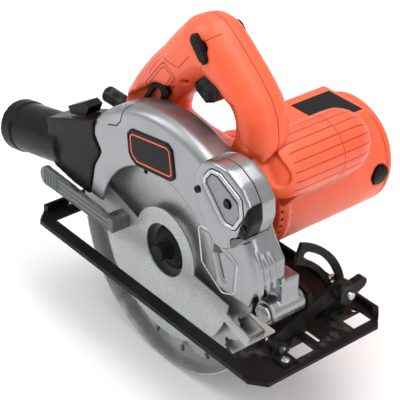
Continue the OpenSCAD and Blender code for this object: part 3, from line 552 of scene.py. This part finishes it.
gloss_black = Finish("gloss_black", (0.008, 0.008, 0.009), 0.0, 0.25)
matted(gloss_black)
gloss_black.bump(gloss_black.noise(500, 2), 0.00003)
gloss_black.vary_roughness(gloss_black.noise(50, 2), 0.18, 0.3)

smoked = Finish("smoked_lens", (0.02, 0.004, 0.004), 0.0, 0.06)
smoked.shader.inputs["Coat Weight"].default_value = 0.8
smoked.bump(smoked.noise(30, 1), 0.00004)

paper = Finish("pale_floor", (0.9, 0.9, 0.9), 0.0, 0.8)
paper.bump(paper.noise(60, 3), 0.0001, 0.3)
floor.data.materials.append(paper.material)
print("materials:", len(bpy.data.materials))

# %% [markdown]
# ### Lines on the guard and the laser pod
# The guard's face carries a sunk window with the arrow of the blade's turning, and dark seams where
# the chute insert and the pod meet it. A seam is the nearest of several strokes, and a sunk
# window is the inside of an outline, so both come from distances again.

# %% Guard and pod finishes
guard_cast = casting("guard_aluminium", (0.38, 0.39, 0.4), 0.26, 0.4, 0.00005)
x, y, z = guard_cast.places()
face = y.between(-13, -12, 1, 0)
window = from_outline(x, z, [(50, 52), (56, 24), (78, 10), (90, 15), (91, 40), (59, 52)])
hollow = length(x, z)
disc = hollow.between(66, 68, 1, 0) * y.between(-15.5, -14.5)
guard_cast.tint((disc * 0.8).socket, (0.36, 0.38, 0.375))
grit = Field(guard_cast, guard_cast.noise(1500, 2)).between(0.42, 0.6)
guard_cast.tint((disc * grit * 0.8).socket, (0.52, 0.54, 0.535))
carve(guard_cast, window.between(-1.2, -0.4, 1, 0) * face, 0.0007, (0.3, 0.31, 0.32), 0.5)
SEAM = ((-20, 124), (-36, 117), (-44, 107), (-46, 97), (-51, 91), (-62, 87))
seam = from_segment(x, z, SEAM[0], SEAM[1])
for start, end in zip(SEAM[1:], SEAM[2:]):
    seam = seam.below(from_segment(x, z, start, end))
carve(guard_cast, seam.line(0.7) * y.between(0, 2, 1, 0), 0.0007, JOINT_DARK_AND_GROOVE_SHADE, 0.95)
POD = [(62, 98), (64, 113), (71, 124), (84, 129), (98, 129), (112, 122), (121, 111), (123, 98), (119, 84)]
POD += [(108, 71), (96, 63), (86, 63), (74, 76)]
pod_seam = (from_outline(x, z, POD, 2) - 2.2).line(0.5) * y.between(-13, -12, 1, 0)
carve(guard_cast, pod_seam, 0.0006, JOINT_DARK_AND_GROOVE_SHADE, 0.95)
shaft = from_segment(x, z, (80, 23), (71, 45)) - 1.0
head = from_outline(x, z, [(67.5, 50), (77, 43), (67, 38.5)])
carve(guard_cast, shaft.below(head).between(-0.2, 0.3, 1, 0) * face, 0.0005, (0.05, 0.05, 0.05), 0.9)

pod_cast = casting("pod_aluminium", (0.4, 0.41, 0.42), 0.2, 0.32, 0.00003)
x, y, z = pod_cast.places()
carve(pod_cast, (y + 24).line(0.5), 0.0006, JOINT_DARK_AND_GROOVE_SHADE, 0.95)
# The pod's front-lower nose is painted near-black: painted shade and a painted dark reflection of its shadowed
# underside.
nose_shade = (x * 0.947 - z * 0.32 - 78.5).between(-0.6, 0.6) * (z + y * -0.4 - 124).between(-1, 1, 1, 0)
pod_cast.tint((nose_shade * y.between(-24.6, -24, 1, 0)).socket, (0.012, 0.011, 0.01))
print("castings:", [f.material.name for f in (cast, guard_cast, pod_cast)])

# %% [markdown]
# ## Who wears what
# Every measured node takes its finish from a small table of names, so that a glance shows which
# pieces are cast, pressed, moulded or turned.

# %% Finishes of the measured nodes
WEARS = {
    orange: "motor_housing motor_end_cap",
    handle_orange: "handle_right handle_left",
    grip_orange: "front_handle",
    black: "dust_port port_clip brush_caps cord_gland motor_fan trigger lock_off_button spindle_lock"
    " depth_lever bevel_lever",
    lever_grey: "guard_lever switch_module",
    sprayed: "laser_cover",
    cast: "chute_cap gear_case bearing_plate",
    pod_cast: "laser_housing",
    guard_cast: "upper_guard",
    sparkle: "lower_guard",
    blackened: "shoe_plate bevel_quadrant front_bevel_ear rear_bevel_ear bevel_bracket rear_bracket"
    " outer_flange blade_bolt depth_rail laser_screws housing_screws",
    turned: "shoe_rivets bevel_pins depth_pin bevel_bolt laser_module ball_bearings"
    " guard_retainer guard_spring guard_rivets spindle drive_gear inner_flange"
    " armature_shaft rotor_core stator",
    blade_steel: "saw_blade",
    carbide: "carbide_tips carbon_brushes",
    copper: "commutator",
    gloss_black: "guard_badge rating_plate laser_switch",
    smoked: "laser_lens",
}


def dress(piece, finish):
    piece.data.materials.clear()
    piece.data.materials.append(finish.material)


for finish, names in WEARS.items():
    for name in names.split():
        dress(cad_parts[name], finish)
print("dressed", sum(len(n.split()) for n in WEARS.values()), "nodes")

# %% [markdown]
# ## Softly rounded edges
# No sheet or turned piece has a perfectly sharp edge. The measured meshes are loose triangles, so
# they are welded, their flat areas joined again, and only then is each sharp corner bevelled.

# %% Bevel the measured nodes


def ease_edges(piece, width, segments=2):
    weld = piece.modifiers.new("weld", "WELD")
    weld.merge_threshold = 1e-5
    flat = piece.modifiers.new("flat", "DECIMATE")
    flat.decimate_type = "DISSOLVE"
    flat.angle_limit = math.radians(0.6)
    bevel = piece.modifiers.new("bevel", "BEVEL")
    bevel.width = width
    bevel.segments = segments
    bevel.limit_method = "ANGLE"
    bevel.angle_limit = math.radians(32)
    bevel.use_clamp_overlap = True
    bevel.harden_normals = True


EASED = {
    0.0006: "shoe_plate bevel_quadrant bevel_bracket rear_bracket front_bevel_ear rear_bevel_ear depth_rail",
    0.0004: "outer_flange blade_bolt depth_pin bevel_bolt guard_badge rating_plate port_clip spindle_lock"
    " brush_caps gear_case laser_cover",
    0.00025: "lower_guard saw_blade inner_flange laser_lens",
}
for width, names in EASED.items():
    for name in names.split():
        ease_edges(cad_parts[name], width)
print("eased", sum(len(n.split()) for n in EASED.values()), "nodes")

# %% [markdown]
# ## Cast and moulded shells
# A die rounds every inner and outer corner. Rebuilding the solid from small cells and relaxing it
# gives that even rounding everywhere at once, which a bevel can't do where many shapes meet.

# %% Relax a copy of a measured solid


def softened(name, sources, cell, rounds, finish, plugs=()):
    joined = bmesh.new()
    for place, radius in plugs:
        ball = Matrix.Translation(at(*place))
        bmesh.ops.create_icosphere(joined, subdivisions=3, radius=radius * MM, matrix=ball)
    for source in sources:
        joined.from_mesh(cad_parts[source].data)
    bmesh.ops.remove_doubles(joined, verts=joined.verts, dist=1e-5)
    mesh = bpy.data.meshes.new(name)
    joined.to_mesh(mesh)
    joined.free()
    rough = bpy.data.objects.new(name + "_rough", mesh)
    bpy.context.scene.collection.objects.link(rough)
    remesh = rough.modifiers.new("cells", "REMESH")
    remesh.mode = "VOXEL"
    remesh.voxel_size = cell
    relax = rough.modifiers.new("relax", "SMOOTH")
    relax.factor = 0.5
    relax.iterations = rounds
    bpy.context.view_layer.update()
    seen = rough.evaluated_get(bpy.context.evaluated_depsgraph_get())
    shell = bpy.data.objects.new(name, bpy.data.meshes.new_from_object(seen))
    bpy.context.scene.collection.objects.link(shell)
    bpy.data.objects.remove(rough)
    dress(shell, finish)
    for face in shell.data.polygons:
        face.use_smooth = True
    print(name, "faces", len(shell.data.polygons))
    return shell


def stand_in(piece, body, slot, *nodes):
    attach(piece, body)
    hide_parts(*nodes)


print("cells from 0.7 to 1.6 mm, relaxed 3 to 44 times")

# %% [markdown]
# ### The shells
# Small cells keep small features, and more rounds of relaxing give rounder edges. The handle is the
# roundest piece of all; its two halves are joined here, because their seam is drawn by the finish.

# %% Rebuild the shells
guard = softened("guard_casting", ["upper_guard"], 0.0011, 7, guard_cast)
stand_in(guard, "saw_body", "cast_alloy", "upper_guard")
insert = softened("chute_insert", ["chute_cap"], 0.001, 3, cast)
stand_in(insert, "saw_body", "cast_alloy", "chute_cap")
pod = softened("laser_pod", ["laser_housing"], 0.0011, 44, pod_cast)
stand_in(pod, "saw_body", "cast_alloy", "laser_housing")
spout = softened("dust_spout", ["dust_port"], 0.0012, 4, black)
stand_in(spout, "saw_body", "black_plastic", "dust_port")
lever = softened("retracting_lever", ["guard_lever"], 0.0007, 4, lever_grey)
stand_in(lever, "lower_guard", "grey_plastic", "guard_lever")
# A small ball closes the thin place beside the trigger before the cells are made.
PLUG = (((-17, 20, 134), 5),)
handle = softened("rear_handle", ["handle_right", "handle_left"], 0.0016, 22, handle_orange, PLUG)
stand_in(handle, "saw_body", "orange_plastic", "handle_right", "handle_left")
motor = softened("motor_can", ["motor_housing"], 0.0015, 6, orange)
stand_in(motor, "saw_body", "orange_plastic", "motor_housing")
cap = softened("motor_cap", ["motor_end_cap"], 0.0014, 8, orange)
stand_in(cap, "saw_body", "orange_plastic", "motor_end_cap")
grip = softened("front_grip", ["front_handle"], 0.0013, 10, grip_orange)
stand_in(grip, "saw_body", "orange_plastic", "front_handle")

# %% [markdown]
# ## Hollows that a thumb or a light can find
# Wide shallow hollows change the outline, so they are pressed into the mesh: each vertex near the
# hollow's middle line is moved inwards, the more the nearer it lies.

# %% Press hollows into the shells


def press_in(piece, start, end, radius, depth, into):
    """Sinks the walls round a stroke between two points given from the blade's centre."""
    points = np.empty(len(piece.data.vertices) * 3)
    piece.data.vertices.foreach_get("co", points)
    points = points.reshape(-1, 3)
    a, b = np.array(at(*start)), np.array(at(*end))
    along = np.clip(((points - a) @ (b - a)) / ((b - a) @ (b - a)), 0, 1)
    gap = np.linalg.norm(points - a - along[:, None] * (b - a), axis=1) / MM
    how_far = np.clip((radius - gap) / (0.35 * radius), 0, 1)
    sunk = how_far * how_far * (3 - 2 * how_far) * depth * MM
    points += sunk[:, None] * np.array(Vector(into).normalized())
    piece.data.vertices.foreach_set("co", points.ravel())
    piece.data.update()
    print(piece.name, "pressed at", int((sunk > 0).sum()), "vertices")


press_in(handle, (46, 14, 136), (54, 16, 114), 9.5, 4, (0.3, 1, 0))
press_in(handle, (46, 46, 136), (54, 44, 114), 9.5, 4, (0.3, -1, 0))
press_in(grip, (60, 30, 111), (85, 26, 95), 9.5, 4.5, (0, 1, -0.3))

# %% [markdown]
# ## Growing pieces with Geometry Nodes
# Anything that repeats or follows a path is grown by a tree of nodes with named sizes. The helpers
# start a tree, add a node with its links in one line, end the tree with real geometry, and run it
# once on a seed mesh so that a plain piece is left.

# %% Helpers for building and running a tree


def start_tree(name, sizes):
    tree = bpy.data.node_groups.new(name, "GeometryNodeTree")
    tree.interface.new_socket("Geometry", in_out="INPUT", socket_type="NodeSocketGeometry")
    for label, kind, value in sizes:
        tree.interface.new_socket(label, in_out="INPUT", socket_type=kind).default_value = value
    tree.interface.new_socket("Material", in_out="INPUT", socket_type="NodeSocketMaterial")
    tree.interface.new_socket("Geometry", in_out="OUTPUT", socket_type="NodeSocketGeometry")
    return tree, tree.nodes.new("NodeGroupInput").outputs, tree.nodes.new("NodeGroupOutput").inputs[0]


def chain(tree, kind, settings=(), **links):
    """Adds a node, sets its choices, and links its named inputs or gives them a value."""
    made = tree.nodes.new(kind)
    for key, value in dict(settings).items():
        setattr(made, key, value)
    for key, value in links.items():
        socket = made.inputs[key.replace("_", " ")]
        if isinstance(value, bpy.types.NodeSocket):
            tree.links.new(value, socket)
        else:
            socket.default_value = value
    return made


def calc(tree, operation, *values):
    step = chain(tree, "ShaderNodeMath", {"operation": operation})
    for socket, value in zip(step.inputs, values):
        if isinstance(value, bpy.types.NodeSocket):
            tree.links.new(value, socket)
        else:
            socket.default_value = value
    return step.outputs[0]


def end_tree(tree, shape, given, out):
    """Every tree ends with real geometry that wears its material."""
    real = chain(tree, "GeometryNodeRealizeInstances", Geometry=shape)
    dressed = chain(tree, "GeometryNodeSetMaterial", Geometry=real.outputs[0], Material=given["Material"])
    tree.links.new(dressed.outputs[0], out)


def grow(name, mesh, tree, finish, body, slot, **sizes):
    """Runs a tree on a mesh and keeps the result as one plain piece."""
    seed = bpy.data.objects.new(name + "_seed", mesh)
    bpy.context.scene.collection.objects.link(seed)
    growth = seed.modifiers.new("growth", "NODES")
    growth.node_group = tree
    for item in tree.interface.items_tree:
        if item.in_out == "INPUT" and item.name.replace(" ", "_") in sizes:
            growth[item.identifier] = sizes[item.name.replace(" ", "_")]
        if item.in_out == "INPUT" and item.name == "Material":
            growth[item.identifier] = finish.material
    bpy.context.view_layer.update()
    grown = bpy.data.meshes.new_from_object(seed.evaluated_get(bpy.context.evaluated_depsgraph_get()))
    bpy.data.objects.remove(seed)
    piece = bpy.data.objects.new(name, grown)
    bpy.context.scene.collection.objects.link(piece)
    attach(piece, body)
    print(name, "faces", len(grown.polygons))
    return piece


print("tree helpers: start_tree, chain, calc, end_tree, grow")

# %% [markdown]
# ## Beads along an outline
# The badge, the laser window and the turning sign are each edged by a small raised bead. One tree
# makes them all: it rounds the corners of an outline, sweeps a round bar along it, flattens the bar
# and leaves it on its wall. Corner, width and height are its named sizes.

# %% A tree for beads
bead, given, out = start_tree(
    "bead_along_outline",
    [(label, "NodeSocketFloat", MM) for label in ("Corner", "Width", "Height")],
)
path = chain(bead, "GeometryNodeMeshToCurve", Mesh=given["Geometry"])
rounded = chain(bead, "GeometryNodeFilletCurve", {"mode": "POLY"}, Curve=path.outputs[0], Count=6)
bead.links.new(given["Corner"], rounded.inputs["Radius"])
rounded.inputs["Limit Radius"].default_value = True
half = calc(bead, "MULTIPLY", given["Width"], 0.5)
bar = chain(bead, "GeometryNodeCurvePrimitiveCircle", Resolution=10, Radius=half)
swept = chain(bead, "GeometryNodeCurveToMesh", Curve=rounded.outputs[0], Profile_Curve=bar.outputs[0])
reach = chain(bead, "GeometryNodeBoundBox", Geometry=swept.outputs[0])
lowest = chain(bead, "ShaderNodeSeparateXYZ", Vector=reach.outputs["Min"])
wall = calc(bead, "ADD", lowest.outputs["Y"], half)
here = chain(bead, "GeometryNodeInputPosition")
split = chain(bead, "ShaderNodeSeparateXYZ", Vector=here.outputs[0])
stands_off = calc(bead, "SUBTRACT", split.outputs["Y"], wall)
flatness = calc(bead, "DIVIDE", given["Height"], half)
pressed = calc(bead, "MULTIPLY_ADD", stands_off, flatness, wall)
joined = chain(bead, "ShaderNodeCombineXYZ", X=split.outputs["X"], Y=pressed, Z=split.outputs["Z"])
flat_bar = chain(bead, "GeometryNodeSetPosition", Geometry=swept.outputs[0], Position=joined.outputs[0])
smooth = chain(bead, "GeometryNodeSetShadeSmooth", Geometry=flat_bar.outputs[0])
end_tree(bead, smooth.outputs[0], given, out)
print("bead tree nodes:", len(bead.nodes))

# %% [markdown]
# ### Where the beads lie
# Each outline is a ring of corners on a flat wall. The badge's inner line is orange, its rim black;
# the laser window and the sign have bright rims, and a wider dark bead under the window's rim
# reads as the gap round it.

# %% Beads on the badge, the laser pod and the turning sign


def outline_mesh(name, corners, across):
    mesh = bpy.data.meshes.new(name)
    loop = [(i, (i + 1) % len(corners)) for i in range(len(corners))]
    mesh.from_pydata([at(x, across, z) for x, z in corners], loop, [])
    return mesh


def bead_on(name, corners, across, corner, width, height, finish, slot):
    outline = outline_mesh(name + "_outline", corners, across)
    return grow(
        name, outline, bead, finish, "saw_body", slot, Corner=corner * MM, Width=width * MM, Height=height * MM
    )


BADGE = [(-31, 72), (-34, 76), (-36, 91), (-32, 96), (11, 103), (16, 100), (20, 79), (16, 75), (-25, 69)]
BADGE_LINE = [(-29.5, 75), (-31.5, 78), (-33, 90), (-30.5, 93), (10.5, 99.8), (13.6, 98)]
BADGE_LINE += [(17, 80), (14.5, 77.5), (-24.5, 72)]
FRAME = [(74, 111), (82, 122), (91, 123), (113, 113), (115, 100), (108, 88), (98, 87)]
WINDOW = [(48.5, 53), (60, 54), (93, 42), (92, 14), (78, 8), (54, 23)]
bead_on("badge_line", BADGE_LINE, -17.85, 2, 1.3, 0.35, orange, "orange_plastic")
bead_on("badge_rim", BADGE, -17.5, 3, 2.4, 0.8, gloss_black, "plate_black")
bead_on("laser_gap", FRAME, -35.6, 5, 5.4, 0.7, black, "black_plastic")
bead_on("laser_frame", FRAME, -36.2, 5, 3.2, 1.5, turned, "cast_alloy")
bead_on("sign_rim", WINDOW, -16.9, 4, 1.6, 0.7, turned, "cast_alloy")

# %% [markdown]
# ## Rows of slots for cooling air
# Air leaves the motor through slots round its gear end and its far end. The tree sets a point for
# each slot on a circle about the motor's axis and puts a small dark bar there, turned to face out.

# %% A tree for slots round the motor
slots, given, out = start_tree(
    "slots_round_a_barrel",
    (
        ("Count", "NodeSocketInt", 6),
        ("First angle", "NodeSocketFloat", 0.0),
        ("Step", "NodeSocketFloat", 0.2),
        ("Radius", "NodeSocketFloat", 0.047),
        ("Slot", "NodeSocketVector", (0.001, 0.008, 0.002)),
        ("Middle", "NodeSocketVector", (0.0, 0.0, 0.0)),
    ),
)
marks = chain(slots, "GeometryNodeMeshLine", Count=given["Count"])
number = chain(slots, "GeometryNodeInputIndex")
angle = calc(slots, "MULTIPLY_ADD", number.outputs[0], given["Step"], given["First angle"])
forward = calc(slots, "MULTIPLY", calc(slots, "COSINE", angle), given["Radius"])
up = calc(slots, "MULTIPLY", calc(slots, "SINE", angle), given["Radius"])
spot = chain(slots, "ShaderNodeCombineXYZ", X=forward, Z=up)
placed = chain(slots, "GeometryNodeSetPosition", Geometry=marks.outputs[0], Position=spot.outputs[0])
slots.links.new(given["Middle"], placed.inputs["Offset"])
spin = chain(slots, "ShaderNodeCombineXYZ", Y=calc(slots, "MULTIPLY", angle, -1.0))
one_slot = chain(slots, "GeometryNodeMeshCube", Size=given["Slot"])
laid = chain(slots, "GeometryNodeInstanceOnPoints", Points=placed.outputs[0], Instance=one_slot.outputs[0])
slots.links.new(spin.outputs[0], laid.inputs["Rotation"])
end_tree(slots, laid.outputs[0], given, out)
print("slot tree nodes:", len(slots.nodes))

# %% [markdown]
# ### Where the slots go
# The gear end has a few short slots low down on the front, the far side a block of long ones, and
# the end cap a full ring of radial ones.

# %% Air slots
MOTOR_MIDDLE = (18, 40)
SKIN_RADIUS = 46.9


def air_slots(name, count, first, step, radius, slot, across):
    return grow(
        name,
        bpy.data.meshes.new(name + "_none"),
        slots,
        black,
        "saw_body",
        "black_plastic",
        Count=count,
        First_angle=math.radians(first),
        Step=math.radians(step),
        Radius=radius * MM,
        Slot=Vector(slot) * MM,
        Middle=at(MOTOR_MIDDLE[0], across, MOTOR_MIDDLE[1]),
    )


air_slots("gear_end_slots", 7, -42, 8, SKIN_RADIUS, (0.6, 11, 2.2), 57)
air_slots("far_side_slots", 10, 120, 7.5, SKIN_RADIUS, (0.6, 26, 2.2), 150)
air_slots("end_cap_slots", 14, 0, 360 / 14, 26, (14, 0.6, 2.2), 179.65)

# %% [markdown]
# ## The safety button
# The button that frees the trigger is a bar with rounded ends, seen on both sides of the grip. It
# is drawn as a stadium outline, extruded along its pin, and given four ridges for the thumb.

# %% Safety button


def stadium(start, end, radius, steps=10):
    angle = math.atan2(end[1] - start[1], end[0] - start[0])
    ring = []
    for middle, base in ((end, angle - math.pi / 2), (start, angle + math.pi / 2)):
        for i in range(steps + 1):
            turn = base + math.pi * i / steps
            ring.append((middle[0] + radius * math.cos(turn), middle[1] + radius * math.sin(turn)))
    return ring


def add_bar(shape, ring, near, far, crown=0.0):
    """Adds a closed bar whose ends are slightly smaller than its middle."""
    middle = [sum(p[i] for p in ring) / len(ring) for i in (0, 1)]
    loops = []
    for across, scale in ((near, 0.86), (near + crown, 1.0), (far - crown, 1.0), (far, 0.86)):
        points = [[middle[i] + (p[i] - middle[i]) * scale for i in (0, 1)] for p in ring]
        loops.append([shape.verts.new(at(x, across, z)) for x, z in points])
    count = len(ring)
    for one, two in zip(loops, loops[1:]):
        for i in range(count):
            shape.faces.new((one[i], one[(i + 1) % count], two[(i + 1) % count], two[i]))
    shape.faces.new(loops[0][::-1])
    shape.faces.new(loops[-1])


print("a stadium has", len(stadium((0, 0), (1, 0), 1)), "corners")

# %% [markdown]
# ### The button's shape
# The bar runs right through the grip, a little proud on both sides, and its four ridges slant
# across it. It replaces the plain round pin of the measured saw and rides on the same body.

# %% Build the button
RIDGES = 4
button_shape = bmesh.new()
add_bar(button_shape, stadium((6.5, 178.5), (17, 167.5), 4.4), 7.4, 52.6, 1.2)
for i in range(RIDGES):
    x, z = 8.2 + 2.4 * i, 176.6 - 2.5 * i
    for near, far in ((6.9, 7.6), (52.4, 53.1)):
        add_bar(button_shape, stadium((x - 1.6, z - 1.6), (x + 1.6, z + 1.6), 0.5, 4), near, far, 0.2)
bmesh.ops.recalc_face_normals(button_shape, faces=button_shape.faces)
button_mesh = bpy.data.meshes.new("safety_button")
button_shape.to_mesh(button_mesh)
button_shape.free()
button = bpy.data.objects.new("safety_button", button_mesh)
bpy.context.scene.collection.objects.link(button)
dress(button, black)
stand_in(button, "lock_off", "black_plastic", "lock_off_button")
print("safety button faces", len(button_mesh.polygons))

# %% [markdown]
